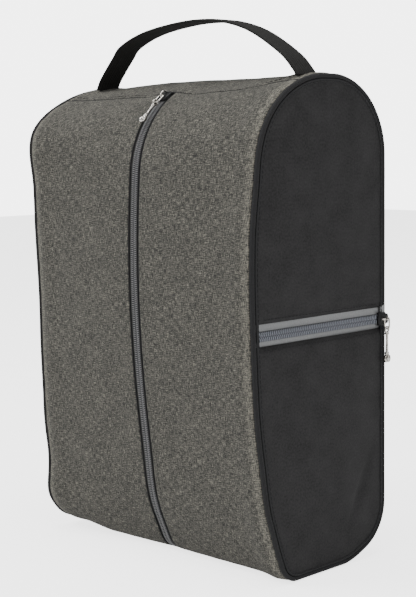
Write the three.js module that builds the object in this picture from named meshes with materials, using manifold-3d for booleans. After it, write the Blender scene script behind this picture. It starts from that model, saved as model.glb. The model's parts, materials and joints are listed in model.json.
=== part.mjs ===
// Upright zipped shoe bag, millimetres. X is the width, -Y the front, +Z up.
// The origin is under the middle of the base, on the surface that the bag stands on.
// One rounded outline, seen from the side, shapes everything that wraps round the bag.

import * as THREE from "three";
import { mergeVertices } from "three/addons/utils/BufferGeometryUtils.js";
import Module from "manifold-3d";

// ---------------------------------------------------------------- driving sizes

const BAG_WIDTH = 229;
const BAG_DEPTH = 137;
const BAG_HEIGHT = 339;

// Corners of the side outline: how far each sits in from the front or back, its height and its radius.
const TOP_BACK_RADIUS = 55;
const TOP_FRONT_SETBACK = 9;
const TOP_FRONT_RADIUS = 70;
const BOW_OVERSHOOT = 2.9;
const BOW_HEIGHT = 190;
const BOW_RADIUS = 950;
const SHIN_SETBACK = 14.5;
const SHIN_HEIGHT = 42;
const SHIN_RADIUS = 110;
const TOE_SETBACK = 32.5;
const TOE_RADIUS = 18;
const HEEL_SETBACK = 38.5;
const HEEL_RADIUS = 60;
const HEEL_RISE = 16;
const HEEL_BACK_RADIUS = 34;

const FABRIC = 1.5; // outer fabric with its backing
const TAPE = 0.7;
const GAP = 0.3; // between pieces that are sewn together
const PIPING = 3.6; // diameter of the corded edge
const SIDE_RECESS = 0.6; // side panel behind the crown of the piping
const BINDING_WIDTH = 7; // bound seam allowance inside the bag
const BINDING_THICKNESS = 2.2;

const TOP_SEAM_Y = -22;
const BACK_TOP_SEAM_Z = 276;
const BACK_LOW_SEAM_Z = 52;
const BASE_SEAM_Y = -22;

// The two doors of the front, between fixed fabric above and below.
const DOOR_TOP_Z = 257;
const DOOR_BOTTOM_Z = 70;
const DOOR_GAP = 0.8;

// Zips: half openings between the fabric edges, coil and tape of each half.
const FRONT_ZIP_HALF = 5.6;
const COIL_HALF = 2.9;
const COIL_THICKNESS = 1.1;
const COIL_DEPTH = 0.4; // front coil crown under the fabric face
const CHAIN_GAP = 0.15; // each coil from the closing line
const TAPE_HALF = 14;
const STOP_LENGTH = 1.6;

const SIDE_ZIP_Z = 169.5;
const SIDE_ZIP_ABOVE = 6.6;
const SIDE_ZIP_BELOW = 6.6;

// Sliders: a plate over the coils with a skirt down each side of them and a bail on top.
const SLIDER_HALF_WIDTH = 4.4;
const SLIDER_LENGTH = 11;
const SLIDER_PLATE = 1.7;
const SKIRT = 1.2;
const BAIL_WIDTH = 1.2;
const BAIL_HALF_LENGTH = 3.6;
const BAIL_HOLE_HALF = 2.4;
const BAIL_HOLE_HEIGHT = 2.2;
const BAIL_BAR = 1.1;
const FRONT_SLIDER_ANGLE = 34.5; // degrees round the top front curve from straight up
const SIDE_SLIDER_Y = BAG_DEPTH / 2 - 4.5; // closed, its plate over the back piping

// Pulls: a wire link through the bail, and a rod with an eye and a ball end.
const LINK_WIRE = 1.2;
const LINK_LENGTH = 8.4; // between the wire centres at its two ends
const LINK_RADIUS = 2.1;
const LINK_CLEARANCE = 0.05; // side link from the slider's plate as it hangs
const EYE_RADIUS = 1.9;
const EYE_WIRE = 1.3;
const ROD_RADIUS = 0.9;
const FRONT_PULL_LENGTH = 19.4; // from the eye's pivot to the tip of the ball
const FRONT_BALL_RADIUS = 2.7;
const SIDE_PULL_LENGTH = 24;
const SIDE_BALL_RADIUS = 3;
const LINK_AXIS_SHIFT = 1.2; // the wire rests in the lower end of the bail's hole
const EYE_STANDOFF = 2.8; // eye centre above the fabric face when the front pull lies down
const BALL_STANDOFF = 4;

const HANDLE_WIDTH = 20;
const HANDLE_THICKNESS = 1.8;
const HANDLE_SPAN = 198;
const HANDLE_RISE = 40;
const HANDLE_SHOULDER = 0.62; // how square the arch is, as a part of its half span
const HANDLE_STEPS = 28;
const HANDLE_Y = -6;
const HANDLE_LIFT = 1.3; // pivot above the top of the bag
const HANDLE_FOOT = 0.8; // half width of the webbing at its pivot
const HANDLE_FLARE = 0.33; // growth of that half width with height, for room to fold over

const POCKET_TOP_Z = 188;
const POCKET_BOTTOM_Z = 60;
const POCKET_DEPTH = 7.2;
const LINING = 1.2;

const ARC_STEP = THREE.MathUtils.degToRad(7);
const LONG_ARC_STEP = THREE.MathUtils.degToRad(2.5); // for radii over 200 mm

// ---------------------------------------------------------------- materials

const paint = (color, roughness, metalness = 0) =>
  new THREE.MeshStandardMaterial({ color, roughness, metalness });

const heather = paint(0x5f5e59, 0.95);
const oxford = paint(0x39383a, 0.8);
const black = paint(0x1c1b1c, 0.75);
const frontTape = paint(0x666663, 0.9);
const sideTape = paint(0x8f9090, 0.9);
const slate = paint(0x3c3f44, 0.45);
const webbing = paint(0x242322, 0.85);
const lining = paint(0x2b2b2d, 0.85);
const blackMetal = paint(0x17171a, 0.4, 0.6);
const nickel = paint(0xc9c8c6, 0.2, 1);

// ---------------------------------------------------------------- solids

const wasm = await Module();
wasm.setup();

function solidOf(geometry) {
  const bare = geometry.clone();
  bare.deleteAttribute("normal");
  bare.deleteAttribute("uv");
  const merged = mergeVertices(bare, 1e-3);
  const vertProperties = new Float32Array(merged.attributes.position.array);
  const triVerts = new Uint32Array(merged.index.array);
  return new wasm.Manifold(
    new wasm.Mesh({ numProp: 3, vertProperties, triVerts }),
  );
}

function geometryOf(solid) {
  const mesh = solid.getMesh();
  const geometry = new THREE.BufferGeometry();
  const positions = new THREE.BufferAttribute(mesh.vertProperties, 3);
  geometry.setAttribute("position", positions);
  geometry.setIndex(new THREE.BufferAttribute(mesh.triVerts, 1));
  geometry.computeVertexNormals();
  return geometry;
}

const join = (first, ...others) =>
  geometryOf(others.reduce((sum, g) => sum.add(solidOf(g)), solidOf(first)));
const cut = (first, ...others) =>
  geometryOf(
    others.reduce((sum, g) => sum.subtract(solidOf(g)), solidOf(first)),
  );
const common = (first, second) =>
  geometryOf(solidOf(first).intersect(solidOf(second)));

// A shape drawn in (y, z), extruded along X from x0 to x1.
function extrudeX(shape, x0, x1) {
  const geometry = new THREE.ExtrudeGeometry(shape, {
    depth: x1 - x0,
    bevelEnabled: false,
  });
  const turn = new THREE.Matrix4().makeBasis(
    new THREE.Vector3(0, 1, 0),
    new THREE.Vector3(0, 0, 1),
    new THREE.Vector3(1, 0, 0),
  );
  return geometry.applyMatrix4(turn).translate(x0, 0, 0);
}

// A shape drawn in (x, z), extruded along Y from y0 to y1.
function extrudeY(shape, y0, y1) {
  const geometry = new THREE.ExtrudeGeometry(shape, {
    depth: y1 - y0,
    bevelEnabled: false,
  });
  return geometry.rotateX(Math.PI / 2).translate(0, y1, 0);
}

function block(x0, x1, y0, y1, z0, z1) {
  const geometry = new THREE.BoxGeometry(x1 - x0, y1 - y0, z1 - z0);
  return geometry.translate((x0 + x1) / 2, (y0 + y1) / 2, (z0 + z1) / 2);
}

// ---------------------------------------------------------------- the side outline

// A closed line of straight edges and tangent arcs in (y, z), counterclockwise,
// measured by its length from the first corner's arc end.
class RoundedLoop {
  constructor(corners) {
    const count = corners.length;
    const points = corners.map((c) => new THREE.Vector2(c.y, c.z));
    const edge = (i) => points[(i + 1) % count].clone().sub(points[i]);
    const turns = points.map((_, i) => {
      const before = edge((i + count - 1) % count);
      return THREE.MathUtils.euclideanModulo(
        edge(i).angle() - before.angle(),
        2 * Math.PI,
      );
    });
    // The length that each arc takes from its two edges, limited by what the other arcs leave.
    const reach = corners.map((c, i) => c.radius * Math.tan(turns[i] / 2));
    for (let i = 0; i < count; i++) {
      const j = (i + 1) % count;
      const excess = reach[i] + reach[j] - 0.98 * edge(i).length();
      if (excess > 0) {
        reach[corners[i].radius > corners[j].radius ? i : j] -= excess;
      }
    }
    this.pieces = [];
    this.length = 0;
    const push = (piece) => {
      this.pieces.push({ ...piece, start: this.length });
      this.length += piece.length;
    };
    for (let i = 0; i < count; i++) {
      const j = (i + 1) % count;
      const along = edge(i).normalize();
      const from = points[i].clone().addScaledVector(along, reach[i]);
      const to = points[j].clone().addScaledVector(along, -reach[j]);
      push({ from, along, length: to.distanceTo(from) });
      const radius = reach[j] / Math.tan(turns[j] / 2);
      const inward = new THREE.Vector2(-along.y, along.x);
      const centre = to.clone().addScaledVector(inward, radius);
      push({
        centre,
        radius,
        first: along.angle() - Math.PI / 2,
        turn: turns[j],
        corner: j,
        length: radius * turns[j],
      });
    }
  }

  pieceAt(s) {
    const place = THREE.MathUtils.euclideanModulo(s, this.length);
    const piece = this.pieces.findLast((p) => p.start <= place + 1e-9);
    return { piece, distance: place - piece.start };
  }

  // The point at length s, moved out by a distance, and the outward normal there.
  at(s, out = 0) {
    const { piece, distance } = this.pieceAt(s);
    if (piece.radius) {
      const angle = piece.first + distance / piece.radius;
      const normal = new THREE.Vector2(Math.cos(angle), Math.sin(angle));
      const point = piece.centre
        .clone()
        .addScaledVector(normal, piece.radius + out);
      return { point, normal };
    }
    const normal = new THREE.Vector2(piece.along.y, -piece.along.x);
    const point = piece.from
      .clone()
      .addScaledVector(piece.along, distance)
      .addScaledVector(normal, out);
    return { point, normal };
  }

  arc(corner) {
    return this.pieces.find((p) => p.corner === corner);
  }

  // Lengths from s0 to s1 that follow every arc closely.
  stations(s0, s1) {
    const list = [s0];
    for (let lap = 0; lap < 2; lap++) {
      for (const piece of this.pieces) {
        const step = piece.radius > 200 ? LONG_ARC_STEP : ARC_STEP;
        const parts = piece.radius ? Math.ceil(piece.turn / step) : 1;
        for (let k = 0; k < parts; k++) {
          const s =
            lap * this.length + piece.start + (piece.length * k) / parts;
          if (s > s0 + 0.5 && s < s1 - 0.5) list.push(s);
        }
      }
    }
    return [...list, s1];
  }

  // The length where the outline passes a height or a depth, between two lengths.
  find(axis, value, low, high) {
    const above = this.at(low).point[axis] > value;
    for (let i = 0; i < 50; i++) {
      const middle = (low + high) / 2;
      if (this.at(middle).point[axis] > value === above) low = middle;
      else high = middle;
    }
    return (low + high) / 2;
  }
}

const HALF_DEPTH = BAG_DEPTH / 2;
const HALF_WIDTH = BAG_WIDTH / 2;
const loop = new RoundedLoop([
  { y: HALF_DEPTH, z: HEEL_RISE, radius: HEEL_BACK_RADIUS },
  { y: HALF_DEPTH, z: BAG_HEIGHT, radius: TOP_BACK_RADIUS },
  {
    y: TOP_FRONT_SETBACK - HALF_DEPTH,
    z: BAG_HEIGHT,
    radius: TOP_FRONT_RADIUS,
  },
  { y: -BOW_OVERSHOOT - HALF_DEPTH, z: BOW_HEIGHT, radius: BOW_RADIUS },
  { y: SHIN_SETBACK - HALF_DEPTH, z: SHIN_HEIGHT, radius: SHIN_RADIUS },
  { y: TOE_SETBACK - HALF_DEPTH, z: 0, radius: TOE_RADIUS },
  { y: HALF_DEPTH - HEEL_SETBACK, z: 0, radius: HEEL_RADIUS },
]);
const TOP_FRONT = 2; // corner numbers in that list
const TOE = 5;

const frontCurve = loop.arc(TOP_FRONT);
const frontCurveEnd = frontCurve.start + frontCurve.length;
const toeEnd = loop.arc(TOE).start + loop.arc(TOE).length;
const HEEL_CORNER = 6;
const heelStart = loop.arc(HEEL_CORNER).start;

const seams = {
  backTop: loop.find("y", BACK_TOP_SEAM_Z, 0, loop.pieces[0].length),
  top: loop.find("x", TOP_SEAM_Y, frontCurve.start, frontCurveEnd),
  doorTop: loop.find("y", DOOR_TOP_Z, frontCurve.start, toeEnd),
  doorBottom: loop.find("y", DOOR_BOTTOM_Z, frontCurve.start, toeEnd),
  base: loop.find("x", BASE_SEAM_Y, loop.arc(TOE).start, heelStart),
  backLow:
    loop.length + loop.find("y", BACK_LOW_SEAM_Z, 0, loop.pieces[0].length),
};

// ---------------------------------------------------------------- wrapping pieces

// The band between two distances outside the outline, from length s0 to s1.
function bandShape(s0, s1, inner, outer) {
  const stations = loop.stations(s0, s1);
  const outside = stations.map((s) => loop.at(s, outer).point);
  const inside = stations.map((s) => loop.at(s, inner).point).reverse();
  return new THREE.Shape([...outside, ...inside]);
}

const band = (s0, s1, inner, outer, x0, x1) =>
  extrudeX(bandShape(s0, s1, inner, outer), x0, x1);

// The whole outline, moved out by a distance, as points.
function ringPoints(out) {
  const stations = loop.stations(0, loop.length).slice(0, -1);
  return stations.map((s) => loop.at(s, out).point);
}

function ringShape(inner, outer) {
  const shape = new THREE.Shape(ringPoints(outer));
  shape.holes.push(new THREE.Path(ringPoints(inner)));
  return shape;
}

// The outline as a closed curve whose even steps are closer together round the tight corners.
class OutlineCurve extends THREE.Curve {
  constructor(x, out) {
    super();
    this.x = x;
    this.out = out;
    this.stations = loop.stations(0, loop.length);
  }

  getPoint(t) {
    const last = this.stations.length - 1;
    const k = Math.min(Math.floor(t * last), last - 1);
    const s = THREE.MathUtils.lerp(
      this.stations[k],
      this.stations[k + 1],
      t * last - k,
    );
    const { point } = loop.at(s, this.out);
    return new THREE.Vector3(this.x, point.x, point.y);
  }

  getUtoTmapping(u) {
    return u;
  }
}

// ---------------------------------------------------------------- the group

const bag = new THREE.Group();
bag.name = "shoe_bag";

function add(name, geometry, material, parent = bag) {
  const mesh = new THREE.Mesh(geometry, material);
  mesh.name = name;
  parent.add(mesh);
  return mesh;
}

const SIDES = [
  { name: "left", sign: -1 },
  { name: "right", sign: 1 },
];
// A stretch of X on one side of the middle.
const stretch = (sign, near, far) =>
  sign > 0 ? [near, far] : [-far, -near];

// ---------------------------------------------------------------- fabric of the body

const wrapEdge = HALF_WIDTH - PIPING - GAP;

function addWrap() {
  const span = [-wrapEdge, wrapEdge];
  const half = GAP / 2;
  const wraps = [
    ["top_panel", seams.backTop, seams.top, heather],
    ["base_panel", seams.base, seams.backLow, oxford],
    ["back_panel", seams.backLow, seams.backTop + loop.length, heather],
  ];
  for (const [name, from, to, material] of wraps) {
    add(name, band(from + half, to - half, -FABRIC, 0, ...span), material);
  }
}

// The three stretches of each front half and of its tape and coil, top to bottom.
const frontStretches = [
  ["upper", seams.top + GAP / 2, seams.doorTop - DOOR_GAP / 2],
  ["door", seams.doorTop + DOOR_GAP / 2, seams.doorBottom - DOOR_GAP / 2],
  ["lower", seams.doorBottom + DOOR_GAP / 2, seams.base - GAP / 2],
];
const coilCrown = -COIL_DEPTH;
const coilFoot = coilCrown - COIL_THICKNESS;
const tapeFace = -FABRIC - GAP;

function addFront() {
  for (const { name, sign } of SIDES) {
    for (const [part, from, to] of frontStretches) {
      const fabric = stretch(sign, FRONT_ZIP_HALF, wrapEdge);
      const tape = stretch(sign, CHAIN_GAP, TAPE_HALF);
      const coil = stretch(sign, CHAIN_GAP, COIL_HALF);
      // The chain stops short of the top and base seams, where its metal stops sit.
      const chainFrom = part === "upper" ? from + 2 * STOP_LENGTH : from;
      const chainTo = part === "lower" ? to - 2 * STOP_LENGTH : to;
      add(`front_${name}_${part}`, band(from, to, -FABRIC, 0, ...fabric), heather);
      add(
        `front_tape_${name}_${part}`,
        band(from, to, tapeFace - TAPE, tapeFace, ...tape),
        frontTape,
      );
      add(
        `front_coil_${name}_${part}`,
        band(chainFrom, chainTo, coilFoot, coilCrown, ...coil),
        slate,
      );
    }
    const top = seams.top + GAP / 2;
    add(
      `front_top_stop_${name}`,
      band(
        top + GAP,
        top + GAP + STOP_LENGTH,
        coilFoot,
        coilCrown,
        ...stretch(sign, CHAIN_GAP, COIL_HALF),
      ),
      blackMetal,
    );
  }
  const end = seams.base - GAP / 2;
  add(
    "front_bottom_stop",
    band(
      end - GAP - STOP_LENGTH,
      end - GAP,
      coilFoot,
      coilCrown,
      -COIL_HALF,
      COIL_HALF,
    ),
    blackMetal,
  );
}

// ---------------------------------------------------------------- sides, piping, seam binding

const panelOut = HALF_WIDTH - SIDE_RECESS;
const panelIn = panelOut - FABRIC;
const panelInset = -PIPING - GAP;
const sideTapeOut = panelIn - GAP;
const sideTapeIn = sideTapeOut - TAPE;

function addSides() {
  const outline = new THREE.Shape(ringPoints(panelInset));
  add("side_panel_left", extrudeX(outline, -panelOut, -panelIn), oxford);
  const whole = extrudeX(outline, panelIn, panelOut);
  const wide = [panelIn - 1, panelOut + 1, -BAG_DEPTH, BAG_DEPTH];
  const upperEdge = SIDE_ZIP_Z + SIDE_ZIP_ABOVE;
  const lowerEdge = SIDE_ZIP_Z - SIDE_ZIP_BELOW;
  add(
    "side_panel_right_upper",
    cut(whole, block(...wide, -1, upperEdge)),
    oxford,
  );
  add(
    "side_panel_right_lower",
    cut(whole, block(...wide, lowerEdge, BAG_HEIGHT + 1)),
    oxford,
  );
  for (const { name, sign } of SIDES) {
    const radius = PIPING / 2;
    const path = new OutlineCurve(sign * (HALF_WIDTH - radius), -radius);
    add(
      `piping_${name}`,
      new THREE.TubeGeometry(path, path.stations.length - 1, radius, 8, true),
      black,
    );
    const outside = sideTapeIn - GAP;
    const ring = ringShape(panelInset - BINDING_WIDTH, panelInset);
    add(
      `seam_binding_${name}`,
      extrudeX(ring, ...stretch(sign, outside - BINDING_THICKNESS, outside)),
      black,
    );
  }
}

// ---------------------------------------------------------------- side pocket and its zip

const sideZip = (() => {
  const front = loop.find("y", SIDE_ZIP_Z, frontCurveEnd, toeEnd);
  // The bowed front edge at the tape's height, and the straight back edge.
  return {
    y0: loop.at(front, panelInset).point.x + 1.5,
    y1: HALF_DEPTH + panelInset - GAP,
  };
})();
const sideCoilOut = panelOut - GAP;

function addSidePocket() {
  const { y0, y1 } = sideZip;
  const halves = [
    { name: "upper", sign: 1 },
    { name: "lower", sign: -1 },
  ];
  for (const { name, sign } of halves) {
    const level = (near, far) => {
      const [low, high] = stretch(sign, near, far);
      return [SIDE_ZIP_Z + low, SIDE_ZIP_Z + high];
    };
    const coil = [sideCoilOut - COIL_THICKNESS, sideCoilOut];
    const closed = level(CHAIN_GAP, COIL_HALF);
    add(
      `side_tape_${name}`,
      block(sideTapeIn, sideTapeOut, y0, y1, ...level(CHAIN_GAP, TAPE_HALF)),
      sideTape,
    );
    add(
      `side_coil_${name}`,
      block(...coil, y0 + 2 * STOP_LENGTH, y1 - 2 * STOP_LENGTH, ...closed),
      slate,
    );
    add(
      `side_top_stop_${name}`,
      block(...coil, y1 - STOP_LENGTH, y1, ...closed),
      blackMetal,
    );
  }
  add(
    "side_end_stop",
    block(
      sideCoilOut - COIL_THICKNESS,
      sideCoilOut,
      y0,
      y0 + STOP_LENGTH,
      SIDE_ZIP_Z - COIL_HALF,
      SIDE_ZIP_Z + COIL_HALF,
    ),
    blackMetal,
  );
  // The lining reaches from one bound seam to the other.
  const mouth = sideTapeIn - GAP;
  const deep = mouth - POCKET_DEPTH;
  const clear = panelInset - BINDING_WIDTH - GAP;
  const corner = loop.find("y", POCKET_BOTTOM_Z, frontCurveEnd, toeEnd);
  const front = loop.at(corner, clear).point.x;
  const back = HALF_DEPTH + clear;
  add(
    "pocket_lining",
    cut(
      block(deep, mouth, front, back, POCKET_BOTTOM_Z, POCKET_TOP_Z),
      block(
        deep + LINING,
        mouth + 1,
        front + LINING,
        back - LINING,
        POCKET_BOTTOM_Z + LINING,
        POCKET_TOP_Z - LINING,
      ),
    ),
    lining,
  );
}

// ---------------------------------------------------------------- sliders and pulls

// The bail in its own plane: u runs along the zip, v away from it.
function bailShape(plateTop) {
  const top = plateTop + BAIL_HOLE_HEIGHT + BAIL_BAR;
  const foot = plateTop - SLIDER_PLATE / 2;
  const shape = new THREE.Shape();
  shape.moveTo(-BAIL_HALF_LENGTH, foot);
  shape.lineTo(BAIL_HALF_LENGTH, foot);
  shape.lineTo(BAIL_HALF_LENGTH, top - BAIL_BAR);
  shape.lineTo(BAIL_HALF_LENGTH - BAIL_BAR, top);
  shape.lineTo(BAIL_BAR - BAIL_HALF_LENGTH, top);
  shape.lineTo(-BAIL_HALF_LENGTH, top - BAIL_BAR);
  shape.closePath();
  const hole = new THREE.Path();
  hole.moveTo(-BAIL_HOLE_HALF, plateTop);
  hole.lineTo(-BAIL_HOLE_HALF, plateTop + BAIL_HOLE_HEIGHT);
  hole.lineTo(BAIL_HOLE_HALF, plateTop + BAIL_HOLE_HEIGHT);
  hole.lineTo(BAIL_HOLE_HALF, plateTop);
  hole.closePath();
  shape.holes.push(hole);
  return shape;
}

class LinkCurve extends THREE.Curve {
  // A flat oval in (x, y), from its near end at the origin along +Y.
  getPoint(t) {
    const straight = LINK_LENGTH - 2 * LINK_RADIUS;
    const half = Math.PI * LINK_RADIUS;
    let s = t * 2 * (straight + half);
    const turned = (centreY, angle) =>
      new THREE.Vector3(
        LINK_RADIUS * Math.cos(angle),
        centreY + LINK_RADIUS * Math.sin(angle),
        0,
      );
    if (s < half) return turned(LINK_RADIUS, Math.PI + s / LINK_RADIUS);
    s -= half;
    if (s < straight) return new THREE.Vector3(LINK_RADIUS, LINK_RADIUS + s, 0);
    s -= straight;
    if (s < half) return turned(LINK_RADIUS + straight, s / LINK_RADIUS);
    s -= half;
    return new THREE.Vector3(-LINK_RADIUS, LINK_RADIUS + straight - s, 0);
  }
}

const linkGeometry = () =>
  new THREE.TubeGeometry(new LinkCurve(), 32, LINK_WIRE / 2, 8, true);

// Rod, ball and eye along +Y from the eye's pivot, with the eye in the (y, z) plane.
function pullGeometry(length, ballRadius) {
  const eyeCentre = EYE_RADIUS - EYE_WIRE / 2 - LINK_WIRE / 2 - GAP;
  const ballCentre = length - ballRadius;
  const rodStart = eyeCentre + EYE_RADIUS;
  const rod = new THREE.CylinderGeometry(
    ROD_RADIUS,
    ROD_RADIUS,
    ballCentre - rodStart,
    10,
  ).translate(0, (ballCentre + rodStart) / 2, 0);
  const ball = new THREE.SphereGeometry(ballRadius, 14, 10).translate(
    0,
    ballCentre,
    0,
  );
  const eye = new THREE.TorusGeometry(EYE_RADIUS, EYE_WIRE / 2, 8, 18)
    .rotateY(Math.PI / 2)
    .translate(0, eyeCentre, 0);
  return join(eye, rod, ball);
}

// Points round the top front curve: degrees from straight up, and millimetres off the fabric.
function onCurve(degrees, off) {
  const angle = Math.PI / 2 + THREE.MathUtils.degToRad(degrees);
  const radius = frontCurve.radius + off;
  return new THREE.Vector3(
    0,
    frontCurve.centre.x + radius * Math.cos(angle),
    frontCurve.centre.y + radius * Math.sin(angle),
  );
}

// A group at a point whose +Y runs to another point, in a plane of constant X.
function groupTowards(from, to) {
  const group = new THREE.Group();
  group.position.copy(from);
  group.rotation.x = Math.atan2(to.z - from.z, to.y - from.y);
  bag.add(group);
  return group;
}

// Degrees round the curve between two points at given distances off the fabric and apart.
function degreesBetween(offA, offB, apart) {
  const a = frontCurve.radius + offA;
  const b = frontCurve.radius + offB;
  const cosine = (a * a + b * b - apart * apart) / (2 * a * b);
  return THREE.MathUtils.radToDeg(Math.acos(cosine));
}

function addFrontSlider() {
  const skirtFoot = tapeFace + GAP;
  const plateFoot = coilCrown + GAP;
  const plateTop = plateFoot + SLIDER_PLATE;
  const angle = THREE.MathUtils.degToRad(FRONT_SLIDER_ANGLE);
  // The curve starts where the top is level, so its angle counts from straight up.
  const middle = frontCurve.start + frontCurve.radius * angle;
  const from = middle - SLIDER_LENGTH / 2;
  const to = middle + SLIDER_LENGTH / 2;
  const plate = band(
    from,
    to,
    plateFoot,
    plateTop,
    -SLIDER_HALF_WIDTH,
    SLIDER_HALF_WIDTH,
  );
  const skirts = SIDES.map(({ sign }) =>
    band(
      from,
      to,
      skirtFoot,
      plateTop - SLIDER_PLATE / 2,
      ...stretch(sign, SLIDER_HALF_WIDTH - SKIRT, SLIDER_HALF_WIDTH),
    ),
  );
  const foot = onCurve(FRONT_SLIDER_ANGLE, 0);
  const bail = extrudeX(bailShape(plateTop), -BAIL_WIDTH / 2, BAIL_WIDTH / 2)
    .rotateX(angle)
    .translate(0, foot.y, foot.z);
  add("front_slider_body", join(plate, ...skirts, bail), blackMetal);

  const wireOff = plateTop + BAIL_HOLE_HEIGHT / 2;
  const shift = LINK_AXIS_SHIFT / (frontCurve.radius + wireOff);
  const linkAt = FRONT_SLIDER_ANGLE + THREE.MathUtils.radToDeg(shift);
  const eyeAt = linkAt + degreesBetween(wireOff, EYE_STANDOFF, LINK_LENGTH);
  const reach = FRONT_PULL_LENGTH - FRONT_BALL_RADIUS;
  const ballAt = eyeAt + degreesBetween(EYE_STANDOFF, BALL_STANDOFF, reach);
  const linkPoint = onCurve(linkAt, wireOff);
  const eyePoint = onCurve(eyeAt, EYE_STANDOFF);
  const ballPoint = onCurve(ballAt, BALL_STANDOFF);
  add("front_link", linkGeometry(), nickel, groupTowards(linkPoint, eyePoint));
  add(
    "front_pull",
    pullGeometry(FRONT_PULL_LENGTH, FRONT_BALL_RADIUS),
    nickel,
    groupTowards(eyePoint, ballPoint),
  );
}

function addSideSlider() {
  const y0 = SIDE_SLIDER_Y - SLIDER_LENGTH / 2;
  const y1 = SIDE_SLIDER_Y + SLIDER_LENGTH / 2;
  const plateFoot = BAG_WIDTH / 2 + GAP;
  const plateTop = plateFoot + SLIDER_PLATE;
  const skirtEnd = Math.min(y1, BAG_DEPTH / 2 - PIPING - 2 * GAP);
  const half = SLIDER_HALF_WIDTH;
  const plate = block(
    plateFoot,
    plateTop,
    y0,
    y1,
    SIDE_ZIP_Z - half,
    SIDE_ZIP_Z + half,
  );
  const skirts = SIDES.map(({ sign }) => {
    const [low, high] = stretch(sign, half - SKIRT, half);
    return block(
      sideTapeOut + GAP,
      plateFoot + SLIDER_PLATE / 2,
      y0,
      skirtEnd,
      SIDE_ZIP_Z + low,
      SIDE_ZIP_Z + high,
    );
  });
  // The bail stands out along +X and runs along Y.
  const bail = extrudeX(bailShape(0), -BAIL_WIDTH / 2, BAIL_WIDTH / 2)
    .rotateY(Math.PI / 2)
    .translate(plateTop, SIDE_SLIDER_Y, SIDE_ZIP_Z);
  add("side_slider_body", join(plate, ...skirts, bail), blackMetal);

  // The link hangs round the bail's bar, and the pull hangs from the link.
  const wireX = plateTop + LINK_RADIUS + LINK_WIRE / 2 + LINK_CLEARANCE;
  const wireZ = SIDE_ZIP_Z + BAIL_WIDTH / 2 + GAP + LINK_WIRE / 2;
  const link = new THREE.Group();
  link.position.set(wireX, SIDE_SLIDER_Y, wireZ);
  link.rotation.x = -Math.PI / 2;
  bag.add(link);
  add("side_link", linkGeometry(), nickel, link);
  const pull = new THREE.Group();
  pull.position.set(wireX, SIDE_SLIDER_Y, wireZ - LINK_LENGTH);
  pull.rotation.x = -Math.PI / 2;
  bag.add(pull);
  add(
    "side_pull",
    pullGeometry(SIDE_PULL_LENGTH, SIDE_BALL_RADIUS),
    nickel,
    pull,
  );
}

// ---------------------------------------------------------------- handle

function addHandle() {
  const pivotZ = BAG_HEIGHT + HANDLE_LIFT;
  const half = HANDLE_SPAN / 2;
  // A cubic arch rises three quarters of the height of its control points.
  const control = pivotZ + HANDLE_RISE / 0.75;
  const arch = new THREE.CubicBezierCurve(
    new THREE.Vector2(-half, pivotZ),
    new THREE.Vector2(-HANDLE_SHOULDER * half, control),
    new THREE.Vector2(HANDLE_SHOULDER * half, control),
    new THREE.Vector2(half, pivotZ),
  );
  const edge = (side) =>
    Array.from({ length: HANDLE_STEPS + 1 }, (_, i) => {
      const along = arch.getTangent(i / HANDLE_STEPS);
      const across = new THREE.Vector2(-along.y, along.x);
      return arch
        .getPoint(i / HANDLE_STEPS)
        .addScaledVector(across, (side * HANDLE_THICKNESS) / 2);
    });
  const strap = new THREE.Shape([...edge(1), ...edge(-1).reverse()]);
  const wide = HANDLE_WIDTH / 2;
  const shoulder = pivotZ + (wide - HANDLE_FOOT) / HANDLE_FLARE;
  const tall = pivotZ + 2 * HANDLE_RISE;
  const flare = new THREE.Shape();
  flare.moveTo(HANDLE_Y - HANDLE_FOOT, pivotZ - HANDLE_LIFT + GAP);
  flare.lineTo(HANDLE_Y + HANDLE_FOOT, pivotZ - HANDLE_LIFT + GAP);
  flare.lineTo(HANDLE_Y + HANDLE_FOOT, pivotZ);
  flare.lineTo(HANDLE_Y + wide, shoulder);
  flare.lineTo(HANDLE_Y + wide, tall);
  flare.lineTo(HANDLE_Y - wide, tall);
  flare.lineTo(HANDLE_Y - wide, shoulder);
  flare.lineTo(HANDLE_Y - HANDLE_FOOT, pivotZ);
  flare.closePath();
  add(
    "handle_webbing",
    common(
      extrudeY(strap, HANDLE_Y - wide, HANDLE_Y + wide),
      extrudeX(flare, -HANDLE_SPAN, HANDLE_SPAN),
    ),
    webbing,
  );
}

addWrap();
addFront();
addSides();
addSidePocket();
addFrontSlider();
addSideSlider();
addHandle();

export default bag;
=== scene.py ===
"""The shoe bag's looks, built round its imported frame. Lengths are millimetres until a piece is made.

The camera, the lights and the floor are placed in metres.
"""
import json
import math

import bmesh
import bpy
import numpy as np
from mathutils import Matrix, Vector, noise


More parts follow.
